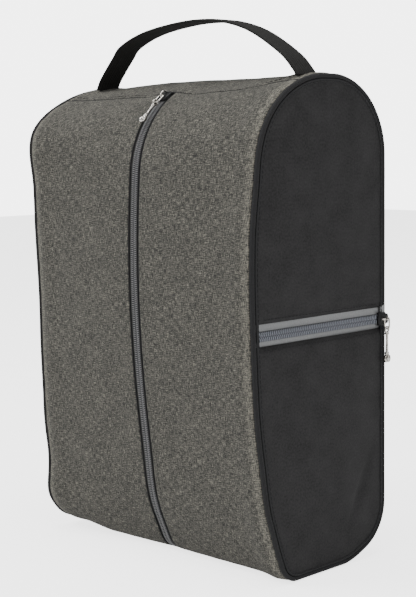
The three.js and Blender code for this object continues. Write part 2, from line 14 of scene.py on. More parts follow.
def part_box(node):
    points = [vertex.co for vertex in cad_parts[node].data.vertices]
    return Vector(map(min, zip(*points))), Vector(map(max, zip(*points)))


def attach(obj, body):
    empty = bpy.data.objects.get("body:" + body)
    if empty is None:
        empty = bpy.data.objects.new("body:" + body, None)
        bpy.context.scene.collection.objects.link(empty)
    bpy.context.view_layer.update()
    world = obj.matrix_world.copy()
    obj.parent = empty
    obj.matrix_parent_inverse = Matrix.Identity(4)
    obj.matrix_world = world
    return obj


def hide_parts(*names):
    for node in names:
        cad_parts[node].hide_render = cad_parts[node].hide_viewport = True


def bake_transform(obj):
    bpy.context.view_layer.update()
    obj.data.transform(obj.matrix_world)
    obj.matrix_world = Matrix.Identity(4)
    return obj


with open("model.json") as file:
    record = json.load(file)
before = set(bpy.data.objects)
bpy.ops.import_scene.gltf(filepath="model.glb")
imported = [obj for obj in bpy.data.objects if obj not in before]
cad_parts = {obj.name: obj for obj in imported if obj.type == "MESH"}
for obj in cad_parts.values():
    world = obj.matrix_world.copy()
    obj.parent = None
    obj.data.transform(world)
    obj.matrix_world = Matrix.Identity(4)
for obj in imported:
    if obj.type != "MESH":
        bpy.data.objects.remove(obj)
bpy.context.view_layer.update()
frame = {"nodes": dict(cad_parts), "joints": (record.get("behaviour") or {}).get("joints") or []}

MM = 0.001

# ---------------------------------------------------------------- sizes taken from the frame


def box_mm(node):
    low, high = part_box(node)
    return Vector(low) / MM, Vector(high) / MM


HALF_WIDTH, HALF_DEPTH, HEIGHT = box_mm("piping_right")[1]
WRAP_EDGE = box_mm("top_panel")[1].x
PANEL_OUT = box_mm("side_panel_right_upper")[1].x
ZIP_HALF = box_mm("front_right_door")[0].x
SIDE_TAPE_X = box_mm("side_tape_upper")[1].x
SIDE_COIL_X = box_mm("side_coil_upper")[1].x
SIDE_ZIP_Z = box_mm("side_end_stop")[0].z / 2 + box_mm("side_end_stop")[1].z / 2
TOP_SEAM_Y = box_mm("front_left_upper")[1].y
BACK_TOP_SEAM_Z = box_mm("back_panel")[1].z
BACK_LOW_SEAM_Z = box_mm("back_panel")[0].z
BASE_SEAM_Y = box_mm("front_left_lower")[1].y
HINGE_X = WRAP_EDGE

FABRIC = 1.5
TAPE_DEPTH = 1.8
TAPE_HALF = 14
TAPE_THICKNESS = 0.7
COIL_PITCH = 1.35
COIL_RINGS = 12  # rings of the coil's wire in each turn
PIPING_RADIUS = 1.75
ZIP_SLOT_BELOW = 6.6  # the side cloth's edges, from the line of the side zip
ZIP_SLOT_ABOVE = 8.2
FRONT_SLIDER_ANGLE = 34.5  # degrees along the top front curve, from straight up

TOP_FRONT_RADIUS = 70

# Corners of the side outline, as (y, height, radius of the arc), from the lower back up and over.
OUTLINE = [
    (HALF_DEPTH, 16, 34),
    (HALF_DEPTH, HEIGHT, 55),
    (9 - HALF_DEPTH, HEIGHT, TOP_FRONT_RADIUS),
    (-2.9 - HALF_DEPTH, 190, 950),
    (14.5 - HALF_DEPTH, 42, 110),
    (32.5 - HALF_DEPTH, 0, 18),
    (HALF_DEPTH - 38.5, 0, 60),
]


class RoundedLoop:
    """A closed line of straight edges and tangent arcs in (y, z), measured by its length."""

    def __init__(self, corners):
        count = len(corners)
        points = [Vector((y, z)) for y, z, _ in corners]
        edges = [points[(i + 1) % count] - points[i] for i in range(count)]
        heading = [math.atan2(e.y, e.x) for e in edges]
        turns = [(heading[i] - heading[i - 1]) % math.tau for i in range(count)]
        reach = [c[2] * math.tan(t / 2) for c, t in zip(corners, turns)]
        for i in range(count):
            j = (i + 1) % count
            excess = reach[i] + reach[j] - 0.98 * edges[i].length
            if excess > 0:
                reach[i if corners[i][2] > corners[j][2] else j] -= excess
        self.pieces = []
        self.length = 0.0
        for i in range(count):
            j = (i + 1) % count
            along = edges[i].normalized()
            start = points[i] + along * reach[i]
            end = points[j] - along * reach[j]
            self._push(("line", (end - start).length, start, along))
            radius = reach[j] / math.tan(turns[j] / 2)
            centre = end + Vector((-along.y, along.x)) * radius
            first = heading[i] - math.pi / 2
            self._push(("arc", radius * turns[j], centre, (radius, first)))

    def _push(self, piece):
        self.pieces.append((self.length, *piece))
        self.length += piece[1]

    def at(self, s, out=0.0):
        s %= self.length
        start, kind, _, origin, data = [p for p in self.pieces if p[0] <= s + 1e-9][-1]
        if kind == "arc":
            radius, first = data
            angle = first + (s - start) / radius
            normal = Vector((math.cos(angle), math.sin(angle)))
            return origin + normal * (radius + out), normal
        normal = Vector((data.y, -data.x))
        return origin + data * (s - start) + normal * out, normal

    def find(self, axis, value, low, high, out=0.0):
        """Where the line crosses a value of y (axis 0) or z (axis 1), between two lengths."""
        above = self.at(low, out)[0][axis] > value
        for _ in range(40):
            middle = (low + high) / 2
            if (self.at(middle, out)[0][axis] > value) == above:
                low = middle
            else:
                high = middle
        return (low + high) / 2


loop = RoundedLoop(OUTLINE)
ARC_STARTS = [p[0] for p in loop.pieces if p[1] == "arc"]
ARC_ENDS = [p[0] + p[2] for p in loop.pieces if p[1] == "arc"]
FRONT_CURVE, TOE, HEEL = 1, 4, 5  # each arc rounds the corner after its number
S_BACK_TOP = loop.find(1, BACK_TOP_SEAM_Z, 0, ARC_STARTS[0])
S_TOP = loop.find(0, TOP_SEAM_Y, ARC_STARTS[FRONT_CURVE], ARC_ENDS[FRONT_CURVE])
S_BASE = loop.find(0, BASE_SEAM_Y, ARC_STARTS[TOE], ARC_STARTS[HEEL])
S_BACK_LOW = loop.length + loop.find(1, BACK_LOW_SEAM_Z, 0, ARC_STARTS[0])


def smooth(value, low, high):
    """0 at low and 1 at high, turning smoothly."""
    t = min(max((value - low) / (high - low), 0.0), 1.0)
    return t * t * (3 - 2 * t)


def bell(value, middle, width):
    return math.exp(-(((value - middle) / width) ** 2))


# Swells of the front near each side seam, as (distance forward, height, spread).
LEFT_SWELLS = ((10.5, 306, 27), (-4.2, 185, 55), (13, 21, 25), (2.6, 80, 26))
RIGHT_SWELLS = ((1.5, 110, 35), (-2.5, 275, 28), (-1.5, 38, 16))


def warp(p):
    """How the filled bag departs from its pattern: fuller at the left seam, with a dip in the top."""
    x, y, z = p
    front = smooth(-y, -30, 35)
    left = smooth(-x, 0, HALF_WIDTH * 1.15)
    right = smooth(x, 20, HALF_WIDTH)
    push = left * sum(far * bell(z, height, spread) for far, height, spread in LEFT_SWELLS)
    push += right * sum(far * bell(z, height, spread) for far, height, spread in RIGHT_SWELLS)
    dip = bell(x, -8, 62) * bell(y, TOP_SEAM_Y - 2, 15) * smooth(z, 300, 330)
    lift = 4.5 * front * smooth(-x, 60, 108) * bell(z, 0, 24)
    slump = 2.6 * smooth(-x, 20, 95) * smooth(z, 300, 335)
    height = z - 3.0 * dip * smooth(abs(x), 4, 26) - slump + lift
    return Vector((x, y - front * push, max(height, 0.0)))


def ripple(u, v, size, seed):
    return noise.noise(Vector((u / size, v / size, seed)))


def pucker(distance, along, seed):
    """Small gathers across a seam, fading away from it."""
    wave = math.sin(along / 9 * math.tau / 2 + 3 * ripple(along, distance, 31, seed))
    return 0.16 * wave * math.exp(-distance / 7) * (0.6 + ripple(along, 0, 60, seed + 9))


# ---------------------------------------------------------------- materials


def srgb(*values):
    linear = [v / 12.92 if v <= 0.04045 else ((v + 0.055) / 1.055) ** 2.4 for v in values]
    return (*linear, 1.0)


class Nodes:
    """Short calls for building a material."""

    def __init__(self, name, roughness, metallic=0.0, sheen=0.0):
        self.material = bpy.data.materials.new(name)
        self.material.use_nodes = True
        self.tree = self.material.node_tree
        self.shader = self.tree.nodes["Principled BSDF"]
        self.shader.inputs["Roughness"].default_value = roughness
        self.shader.inputs["Metallic"].default_value = metallic
        self.shader.inputs["Sheen Weight"].default_value = sheen
        self.shader.inputs["Sheen Roughness"].default_value = 0.5

    def add(self, kind, values=None, **settings):
        node = self.tree.nodes.new("ShaderNode" + kind)
        for key, value in settings.items():
            setattr(node, key, value)
        for key, value in (values or {}).items():
            if isinstance(value, bpy.types.NodeSocket):
                self.tree.links.new(value, node.inputs[key])
            else:
                node.inputs[key].default_value = value
        return node

    def cloth_map(self):
        return self.add("UVMap", uv_map="cloth").outputs[0]

    def cloth_uv(self, scale=(1, 1, 1)):
        return self.add("Mapping", {"Vector": self.cloth_map(), "Scale": scale}).outputs[0]

    def cloth_place(self, axis):
        return self.add("SeparateXYZ", {"Vector": self.cloth_map()}).outputs[axis]

    def object_at(self, scale=(1, 1, 1)):
        place = self.add("TexCoord").outputs["Object"]
        return self.add("Mapping", {"Vector": place, "Scale": scale}).outputs[0]

    def noise(self, vector, scale, detail=3.0, rough=0.6):
        values = {"Vector": vector, "Scale": scale, "Detail": detail, "Roughness": rough}
        return self.add("TexNoise", values).outputs["Fac"]

    def wave(self, vector, scale, direction, distortion=0.0):
        values = {"Vector": vector, "Scale": scale, "Distortion": distortion, "Detail": 1.0}
        node = self.add("TexWave", values, bands_direction=direction)
        return node.outputs["Fac"]

    def math(self, operation, a, b=0.5):
        return self.add("Math", {0: a, 1: b}, operation=operation).outputs[0]

    def total(self, *terms):
        """The sum of values, each times its weight."""
        parts = [self.math("MULTIPLY", value, weight) for value, weight in terms]
        result = parts[0]
        for part in parts[1:]:
            result = self.math("ADD", result, part)
        return result

    def ramp(self, factor, stops):
        node = self.add("ValToRGB", {"Fac": factor})
        elements = node.color_ramp.elements
        while len(elements) < len(stops):
            elements.new(0.5)
        for element, (place, color) in zip(elements, stops):
            element.position = place
            element.color = color
        return node.outputs["Color"]

    def mix(self, factor, a, b, blend="MIX"):
        node = self.add("Mix", {"Factor": factor}, data_type="RGBA", blend_type=blend)
        for index, value in ((6, a), (7, b)):
            if isinstance(value, bpy.types.NodeSocket):
                self.tree.links.new(value, node.inputs[index])
            else:
                node.inputs[index].default_value = value
        return node.outputs[2]

    def finish(self, color, height=None, strength=0.5, depth=0.0003, roughness=None):
        if isinstance(color, bpy.types.NodeSocket):
            self.tree.links.new(color, self.shader.inputs["Base Color"])
        else:
            self.shader.inputs["Base Color"].default_value = color
        if height is not None:
            values = {"Height": height, "Strength": strength, "Distance": depth}
            bump = self.add("Bump", values)
            self.tree.links.new(bump.outputs[0], self.shader.inputs["Normal"])
        if roughness is not None:
            self.tree.links.new(roughness, self.shader.inputs["Roughness"])
        return self.material


# The cloth map holds centimetres: across the cloth, then along it.
def heather_material():
    n = Nodes("heather", 0.95, sheen=0.03)
    n.shader.inputs["Specular IOR Level"].default_value = 0.2
    weft = n.noise(n.cloth_uv((2.3, 21, 1)), 1.0, 3, 0.6)
    warp_yarn = n.noise(n.cloth_uv((21, 2.3, 1)), 1.0, 3, 0.6)
    weft_rib = n.wave(n.cloth_uv(), 4.6, "Y", 0.8)
    warp_rib = n.wave(n.cloth_uv(), 4.6, "X", 0.8)
    fleck = n.noise(n.cloth_uv(), 13, 2, 0.7)
    cloud = n.noise(n.cloth_uv(), 0.5, 3, 0.6)
    yarns = n.total((weft, 0.5), (warp_yarn, 0.5))
    tone = n.math("ADD", n.total((yarns, 0.62), (fleck, 0.26), (cloud, 0.04)), 0.041)
    # The cloth is stretched paler over the seam allowance along each side.
    out = n.math("ABSOLUTE", n.cloth_place("X"))
    starts, ends = (WRAP_EDGE - 7) / 10, (WRAP_EDGE - 3.5) / 10
    pale = n.add("MapRange", {"Value": out, "From Min": starts, "From Max": ends})
    tone = n.math("ADD", tone, n.math("MULTIPLY", pale.outputs[0], 0.03))
    color = n.ramp(
        tone,
        [
            (0.42, srgb(0.11, 0.109, 0.105)),
            (0.478, srgb(0.24, 0.238, 0.226)),
            (0.52, srgb(0.33, 0.325, 0.305)),
            (0.59, srgb(0.54, 0.525, 0.48)),
        ],
    )
    height = n.math("ADD", n.math("MULTIPLY", n.math("MULTIPLY", weft_rib, warp_rib), 0.6), tone)
    return n.finish(color, height, 0.6, 0.0004)


def oxford_material(name="oxford", tone=0.12):
    n = Nodes(name, 0.8, sheen=0.015)
    n.shader.inputs["Specular IOR Level"].default_value = 0.25
    grain = n.noise(n.cloth_uv(), 7, 3, 0.6)
    cloud = n.noise(n.cloth_uv(), 0.5, 2)
    mixed = n.total((grain, 0.7), (cloud, 0.3))
    color = n.ramp(
        mixed,
        [
            (0.34, srgb(tone * 0.55, tone * 0.545, tone * 0.56)),
            (0.66, srgb(tone * 1.5, tone * 1.47, tone * 1.5)),
        ],
    )
    checks = n.math("MULTIPLY", n.wave(n.cloth_uv(), 3.6, "X"), n.wave(n.cloth_uv(), 3.6, "Y"))
    height = n.math("ADD", checks, n.math("MULTIPLY", grain, 0.5))
    rough = n.add("MapRange", {"Value": grain, "To Min": 0.62, "To Max": 0.84}).outputs[0]
    return n.finish(color, height, 0.35, 0.00025, rough)


def ribbed_material(name, dark, light, ribs, roughness=0.85, axis="X", core_shade=None):
    """Tape, piping and webbing: yarn ribs with a finer cross weave."""
    n = Nodes(name, roughness, sheen=0.02)
    n.shader.inputs["Specular IOR Level"].default_value = 0.25
    rib = n.wave(n.cloth_uv(), ribs, axis, 0.3)
    cross = n.wave(n.cloth_uv(), ribs * 1.4, "Y" if axis == "X" else "X", 0.4)
    fleck = n.noise(n.cloth_uv(), 8, 2)
    tone = n.total((rib, 0.35), (cross, 0.25), (fleck, 0.4))
    color = n.ramp(tone, [(0.25, dark), (0.8, light)])
    if core_shade:
        # Painted shade: the tape is coloured darker where its coil is sewn on, standing in for the coil's
        # shadow.
        near = n.add("MapRange", {"Value": n.cloth_place("X"), "From Min": 0.3, "From Max": 0.36})
        color = n.mix(near.outputs[0], core_shade, color)
    return n.finish(color, n.math("MULTIPLY", rib, cross), 0.5, 0.0003)


def coil_material(name, dark, light):
    n = Nodes(name, 0.36)
    n.shader.inputs["Coat Weight"].default_value = 0.2
    # The cloth map counts the rings of the wire in tens, and the far side of each turn lies in shade.
    turn = n.math("MULTIPLY", n.cloth_place("Y"), math.tau * 10 / COIL_RINGS)
    facing = n.add("MapRange", {"Value": n.math("SINE", turn), "From Min": -0.3, "From Max": 0.8})
    return n.finish(n.mix(facing.outputs[0], dark, light))


def metal_material(name, color, roughness, metallic, wear):
    n = Nodes(name, roughness, metallic)
    scuff = n.noise(n.object_at(), 420, 4, 0.65)
    tint = n.ramp(scuff, [(0.35, color), (0.75, wear)])
    rough = n.add("MapRange", {"Value": scuff, "To Min": roughness * 0.7, "To Max": roughness * 1.5})
    return n.finish(tint, scuff, 0.12, 0.0001, rough.outputs[0])


HEATHER = heather_material()
OXFORD = oxford_material()
LINING = oxford_material("lining", 0.075)
PIPING = ribbed_material("piping", srgb(0.06, 0.06, 0.063), srgb(0.19, 0.19, 0.195), 4)
FRONT_TAPE = ribbed_material("front_tape", srgb(0.28, 0.28, 0.28), srgb(0.42, 0.42, 0.415), 4.5)
# The side tape's darker band along its coil is painted shade.
SIDE_TAPE = ribbed_material("side_tape", srgb(0.44, 0.445, 0.45), srgb(0.62, 0.625, 0.625), 4.5, axis="Y",
                            core_shade=srgb(0.1, 0.11, 0.13))
WEBBING = ribbed_material("webbing", srgb(0.02, 0.02, 0.019), srgb(0.16, 0.157, 0.148), 3.2)
THREAD = ribbed_material("thread", srgb(0.17, 0.17, 0.16), srgb(0.26, 0.255, 0.24), 9)
FLANGE = ribbed_material("flange", srgb(0.09, 0.09, 0.092), srgb(0.2, 0.2, 0.205), 4)
DARK_THREAD = ribbed_material("dark_thread", srgb(0.05, 0.05, 0.055), srgb(0.11, 0.11, 0.115), 9)
FRONT_COIL = coil_material("front_coil", srgb(0.06, 0.06, 0.065), srgb(0.46, 0.46, 0.465))
SIDE_COIL = coil_material("side_coil", srgb(0.05, 0.055, 0.065), srgb(0.5, 0.515, 0.55))
BLACK_METAL = metal_material("black_metal", srgb(0.04, 0.04, 0.043), 0.34, 0.5, srgb(0.1, 0.1, 0.105))
NICKEL = metal_material("nickel", srgb(0.66, 0.64, 0.61), 0.13, 1.0, srgb(0.88, 0.87, 0.85))

# ---------------------------------------------------------------- making pieces


def add_object(name, data):
    thing = bpy.data.objects.new(name, data)
    bpy.context.scene.collection.objects.link(thing)
    return thing


def make_piece(name, verts, faces, materials, body, slot, uvs=None, inner=(), old=()):
    """A mesh piece from millimetres, riding on a body, with its cloth map in centimetres."""
    mesh = bpy.data.meshes.new(name)
    mesh.from_pydata([Vector(v) * MM for v in verts], [], faces)
    for material in materials:
        mesh.materials.append(material)
    mesh.polygons.foreach_set("use_smooth", [True] * len(mesh.polygons))
    if len(materials) > 1 and len(inner):
        mesh.polygons.foreach_set("material_index", inner)
    if uvs is not None:
        layer = mesh.uv_layers.new(name="cloth")
        index = np.empty(len(mesh.loops), np.int32)
        mesh.loops.foreach_get("vertex_index", index)
        layer.data.foreach_set("uv", (np.asarray(uvs, np.float32)[index] / 10).ravel())
    mesh.validate()
    mesh.update()
    piece = add_object(name, mesh)
    if body:
        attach(piece, body)
    if old:
        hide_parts(*old)
    return piece


def steps(low, high, size):
    count = max(1, round((high - low) / size))
    return [low + (high - low) * i / count for i in range(count + 1)]


def with_edges(values, start=True, end=True, fold=0.8):
    """Extra lines close to each end, where the cloth rolls over its edge."""
    extra = [fold * f for f in (0.12, 0.35, 0.7, 1.0, 2.2)]
    direction = 1 if values[-1] > values[0] else -1
    head = [values[0] + direction * e for e in extra] if start else []
    tail = [values[-1] - direction * e for e in reversed(extra)] if end else []
    return [values[0], *head, *values[1:-1], *tail, values[-1]]


def rolled(distance, fold=0.8):
    """How far a folded edge has dropped at a distance from it."""
    if distance >= fold:
        return 0.0
    return fold - math.sqrt(fold**2 - (fold - distance) ** 2)


def sheet_piece(name, rows, cols, place, materials, body, slot, closed=False, old=()):
    """A closed thin shell. place(row, col, inner) gives a face point, and the matching point behind it."""
    verts, uvs = [], []
    for inner in (False, True):
        for r in rows:
            for c in cols:
                verts.append(place(r, c, inner))
                uvs.append((c, r))
    nr, nc = len(rows), len(cols)
    back = nr * nc
    faces, inside = [], []

    def add(a, b, c, d, index):
        faces.append((a, b, c, d))
        inside.append(index)

    for i in range(nr if closed else nr - 1):
        k = (i + 1) % nr
        for j in range(nc - 1):
            a, b, c, d = i * nc + j, i * nc + j + 1, k * nc + j + 1, k * nc + j
            add(a, b, c, d, 0)
            add(back + d, back + c, back + b, back + a, len(materials) - 1)
        for j, flip in ((0, True), (nc - 1, False)):
            a, d = i * nc + j, k * nc + j
            quad = (a, d, back + d, back + a)
            add(*(quad if flip else quad[::-1]), 0)
    if not closed:
        for i, flip in ((0, False), (nr - 1, True)):
            for j in range(nc - 1):
                a, b = i * nc + j, i * nc + j + 1
                quad = (a, back + a, back + b, b)
                add(*(quad[::-1] if flip else quad), 0)
    piece = make_piece(name, verts, faces, materials, body, slot, uvs, inside, old)
    outward(piece)
    return piece


def outward(piece):
    """Turns a closed mesh's faces out."""
    bm = bmesh.new()
    bm.from_mesh(piece.data)
    bmesh.ops.recalc_face_normals(bm, faces=bm.faces[:])
    bm.to_mesh(piece.data)
    bm.free()


def ring(centre, side, other, radius, sides):
    """Points of a circle in the plane of two directions."""
    angles = [math.tau * k / sides for k in range(sides)]
    return [centre + side * math.cos(a) * radius + other * math.sin(a) * radius for a in angles]


def ring_faces(rings, sides, closed=False, base=0):
    """Quads between rings of vertices, with a cap at each end unless they run round."""
    faces = []
    for i in range(rings if closed else rings - 1):
        a, b = base + i * sides, base + (i + 1) % rings * sides
        for k in range(sides):
            m = (k + 1) % sides
            faces.append((a + k, a + m, b + m, b + k))
    if not closed:
        faces.append(tuple(base + k for k in range(sides))[::-1])
        faces.append(tuple(base + (rings - 1) * sides + k for k in range(sides)))
    return faces


def walk_along(points):
    """A line's length, and a function that gives the point at a distance along it."""
    run = [0.0]
    for a, b in zip(points, points[1:]):
        run.append(run[-1] + (b - a).length)

    def walk(distance):
        k = min(max(int(np.searchsorted(run, distance)) - 1, 0), len(points) - 2)
        return points[k].lerp(points[k + 1], (distance - run[k]) / (run[k + 1] - run[k]))

    return run[-1], walk


def tube_piece(name, centres, radius, sides, material, body, slot, closed=False, old=()):
    """A tube through points, with rings square to the path and closed ends."""
    points = [Vector(p) for p in centres]
    count = len(points)
    verts, uvs = [], []
    up = Vector((1, 0, 0))
    travelled = 0.0
    for i, p in enumerate(points):
        ahead = points[(i + 1) % count] if closed or i + 1 < count else p
        behind = points[i - 1] if closed or i else p
        tangent = (ahead - behind).normalized()
        side = (up - tangent * up.dot(tangent)).normalized()
        other = tangent.cross(side)
        up = side
        travelled += (p - points[i - 1]).length if i else 0.0
        verts += ring(p, side, other, radius, sides)
        uvs += [(math.tau * radius * k / sides, travelled) for k in range(sides)]
    faces = ring_faces(count, sides, closed)
    piece = make_piece(name, verts, faces, [material], body, slot, uvs, old=old)
    outward(piece)
    return piece


# ---------------------------------------------------------------- points on the bag


def seam_drift(x):
    """How far the top seam lies forward of its pattern line: it runs back only at the right."""
    return 8.4 - 11.5 * smooth(x, 62, HALF_WIDTH) + 0.8 * ripple(x, 0, 40, 2)


def on_wrap(x, s, depth=0.0, relief=0.0):
    """A point of the wrapping cloth, depth mm under its face."""
    s += seam_drift(x) * bell(s, S_TOP, 27)
    point, _ = loop.at(s, relief - depth)
    return warp((x, point.x, point.y))


def wrap_relief(x, s, seed):
    """Soft waves of the filled cloth, and gathers along its side seams."""
    calm = smooth(abs(x), 4, 30)
    waves = 0.9 * ripple(x, s, 75, seed) + 0.45 * ripple(x, s, 24, seed + 3)
    edge = WRAP_EDGE - abs(x)
    swell = 1.5 * bell(edge, 9, 8)
    return calm * (waves * smooth(edge, 0, 18) + pucker(edge, s, seed) + swell)


def wrap_place(seed, ends, fold_zip=False):
    """The place function of a panel that ends at two seams."""
    first, last = ends

    def place(s, x, inner):
        drop = FABRIC if inner else 0.0
        if not inner:
            drop += rolled(min(s - first, last - s), 0.7) * 0.8
            drop += 0.5 * math.exp(-(WRAP_EDGE - abs(x)) / 0.8)
            if fold_zip:
                drop += rolled(abs(x) - ZIP_HALF, 0.8)
        seam = min(s - first, last - s)
        relief = wrap_relief(x, s, seed) * smooth(seam, -2, 14)
        relief += pucker(seam, x, seed + 5) * smooth(abs(x), 6, 24)
        return on_wrap(x, s, drop, relief)

    return place


def stitch_row(name, points, material, body, slot, length=2.7, gap=0.8, radius=0.27):
    """Raised stitches along a line of points."""
    total, walk = walk_along([Vector(p) for p in points])
    verts, uvs, faces = [], [], []
    profile = [(0.0, 0.35), (0.18, 0.9), (0.5, 1.05), (0.82, 0.9), (1.0, 0.35)]
    sides = 6
    for i in range(int(total / (length + gap))):
        start = i * (length + gap)
        faces += ring_faces(len(profile), sides, base=len(verts))
        a, b = walk(start), walk(start + length)
        tangent = (b - a).normalized()
        side = tangent.cross(Vector((0.3, -0.7, 0.64))).normalized()
        other = tangent.cross(side)
        for t, thick in profile:
            verts += ring(a.lerp(b, t), side, other, radius * thick, sides)
            uvs += [(k, start + t) for k in range(sides)]
    piece = make_piece(name, verts, faces, [material], body, slot, uvs)
    outward(piece)
    return piece


# ---------------------------------------------------------------- the two front halves, which open on the bag; here they are built closed


def open_with_door(piece, side):
    """Bakes the half's placement into its mesh and works out how far each point lies in from the side seam;
    nothing makes the half follow its door.
    """
    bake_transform(piece)
    coords = np.empty(len(piece.data.vertices) * 3, np.float32)
    piece.data.vertices.foreach_get("co", coords)
    coords = coords.reshape(-1, 3) / MM
    away = np.clip((HINGE_X - np.abs(coords[:, 0])) / 38, 0, 1)


def front_half(side):
    sign = -1 if side == "left" else 1
    seed = 11 if side == "left" else 23
    rows = with_edges(steps(S_TOP + 0.5, S_BASE - 0.5, 2.6))
    cols = with_edges(steps(ZIP_HALF, WRAP_EDGE + 0.3, 2.6))
    cols = [sign * c for c in cols]
    place = wrap_place(seed, (rows[0], rows[-1]), fold_zip=True)
    parts = ("upper", "door", "lower")
    cloth = sheet_piece(
        f"front_cloth_{side}", rows, cols, place, [HEATHER, LINING], None, "heather",
        old=[f"front_{side}_{p}" for p in parts],
    )
    open_with_door(cloth, side)

    def tape_place(s, x, inner):
        return on_wrap(x, s, TAPE_DEPTH + (TAPE_THICKNESS if inner else 0.0))

    tape = sheet_piece(
        f"front_tape_{side}",
        steps(S_TOP + 0.3, S_BASE - 0.3, 2.6),
        [sign * c for c in (0.12, 1, 2, 3, 3.6, 4.2, 5, 6, 8, 11, TAPE_HALF)],
        tape_place, [FRONT_TAPE], None, "front_tape",
        old=[f"front_tape_{side}_{p}" for p in parts],
    )
    open_with_door(tape, side)

    coil = coil_piece(
        f"front_coil_{side}",
        S_TOP + 3.6, S_BASE - 3.6,
        lambda s, across, out: on_wrap(sign * across, s, 1.08 - out),
        0.0 if sign < 0 else 0.5, FRONT_COIL, None,
        old=[f"front_coil_{side}_{p}" for p in parts],
    )
    open_with_door(coil, side)

    # Painted shade, partly real: a cord inside each coil and a sewing line beside it, coloured dark to stand
    # in for the shade along and between the coil halves.
    for part, across, depth, radius in (("core_shade", 1.75, 1.05, 0.42), ("sewing_shade", 3.35, 1.55, 0.32)):
        line = [on_wrap(sign * across, s, depth) for s in steps(S_TOP + 4, S_BASE - 4, 2.5)]
        core_shade = tube_piece(f"front_{part}_{side}", line, radius, 6, DARK_THREAD, None, "coil")
        open_with_door(core_shade, side)

    edging = [on_wrap(sign * (ZIP_HALF - 0.35), s, 0.75) for s in steps(S_TOP + 0.5, S_BASE - 0.5, 2.5)]
    edge = tube_piece(f"front_edging_{side}", edging, 0.45, 8, PIPING, None, "piping")
    open_with_door(edge, side)

    x = sign * (ZIP_HALF + 4.2)
    line = [on_wrap(x, s, 0.12, wrap_relief(x, s, seed)) for s in steps(S_TOP + 4, S_BASE - 3, 2.5)]
    stitches = stitch_row(f"front_stitches_{side}", line, THREAD, None, "heather")
    open_with_door(stitches, side)


def coil_piece(name, start, end, place, phase, material, body, old=(), pitch=COIL_PITCH, wire=0.34):
    """One half of a zip chain: a wound nylon wire whose loops reach the closing line."""
    sides = 5
    rings = int((end - start) / pitch) * COIL_RINGS + 1
    path = []
    for i in range(rings):
        angle = math.tau * (i / COIL_RINGS)
        s = start + (i / COIL_RINGS + phase) * pitch
        path.append(place(s, 1.57 - 1.43 * math.cos(angle), 0.62 * math.sin(angle)))
    verts, uvs = [], []
    for i, p in enumerate(path):
        tangent = (path[min(i + 1, rings - 1)] - path[max(i - 1, 0)]).normalized()
        side = tangent.cross(Vector((0.1, -0.6, 0.79))).normalized()
        verts += ring(p, side, tangent.cross(side), wire, sides)
        uvs += [(k, i) for k in range(sides)]
    piece = make_piece(name, verts, ring_faces(rings, sides), [material], body, "coil", uvs, old=old)
    outward(piece)
    return piece


# ---------------------------------------------------------------- top, back and base


def wrap_panels():
    panels = (
        ("top_cloth", "top_panel", S_BACK_TOP, S_TOP, HEATHER, "heather", 31),
        ("back_cloth", "back_panel", S_BACK_LOW, S_BACK_TOP + loop.length, HEATHER, "heather", 37),
        ("base_cloth", "base_panel", S_BASE, S_BACK_LOW, OXFORD, "oxford", 41),
    )
    for name, node, first, last, material, slot, seed in panels:
        rows = with_edges(steps(first + 0.5, last - 0.5, 3))
        cols = with_edges(steps(-WRAP_EDGE - 0.3, WRAP_EDGE + 0.3, 3.2))
        place = wrap_place(seed, (rows[0], rows[-1]))
        sheet_piece(name, rows, cols, place, [material, LINING], "shell", slot, old=[node])
    # Painted shadow: a dark cord sunk along each seam stands in for the shade in the seam's gap.
    for s, name in ((S_TOP, "top"), (S_BACK_TOP, "back_top"), (S_BACK_LOW, "back_low"), (S_BASE, "base")):
        seam_shadow_line = [on_wrap(x, s, 0.62, wrap_relief(x, s, 31) * 0.2) for x in steps(-WRAP_EDGE, WRAP_EDGE, 3)]
        tube_piece(f"seam_shadow_cord_{name}", seam_shadow_line, 0.62, 8, PIPING, "shell", "piping")
    for s, name in ((S_TOP - 3.2, "top"), (S_BACK_TOP - 3.2, "back_top"), (S_BACK_LOW + 3.2, "back_low")):
        seed = 31 if name == "top" else 37
        line = [on_wrap(x, s, 0.15, wrap_relief(x, s, seed)) for x in steps(-107, 107, 2.5)]
        stitch_row(f"stitches_{name}", line, THREAD, "shell", "heather")


# ---------------------------------------------------------------- side panels, piping, bindings

FAR = 99.0  # beyond the reach of any fold or seam


def panel_bounds(z, inset):
    """The front and back edge of the side outline at a height, inside an inset."""
    top = (ARC_ENDS[0] + ARC_STARTS[FRONT_CURVE]) / 2
    bottom = (ARC_ENDS[TOE] + ARC_STARTS[HEEL]) / 2
    front = loop.find(1, z, top, bottom, -inset)
    back = loop.find(1, z, bottom, top + loop.length, -inset)
    return loop.at(front, -inset)[0].x, loop.at(back, -inset)[0].x


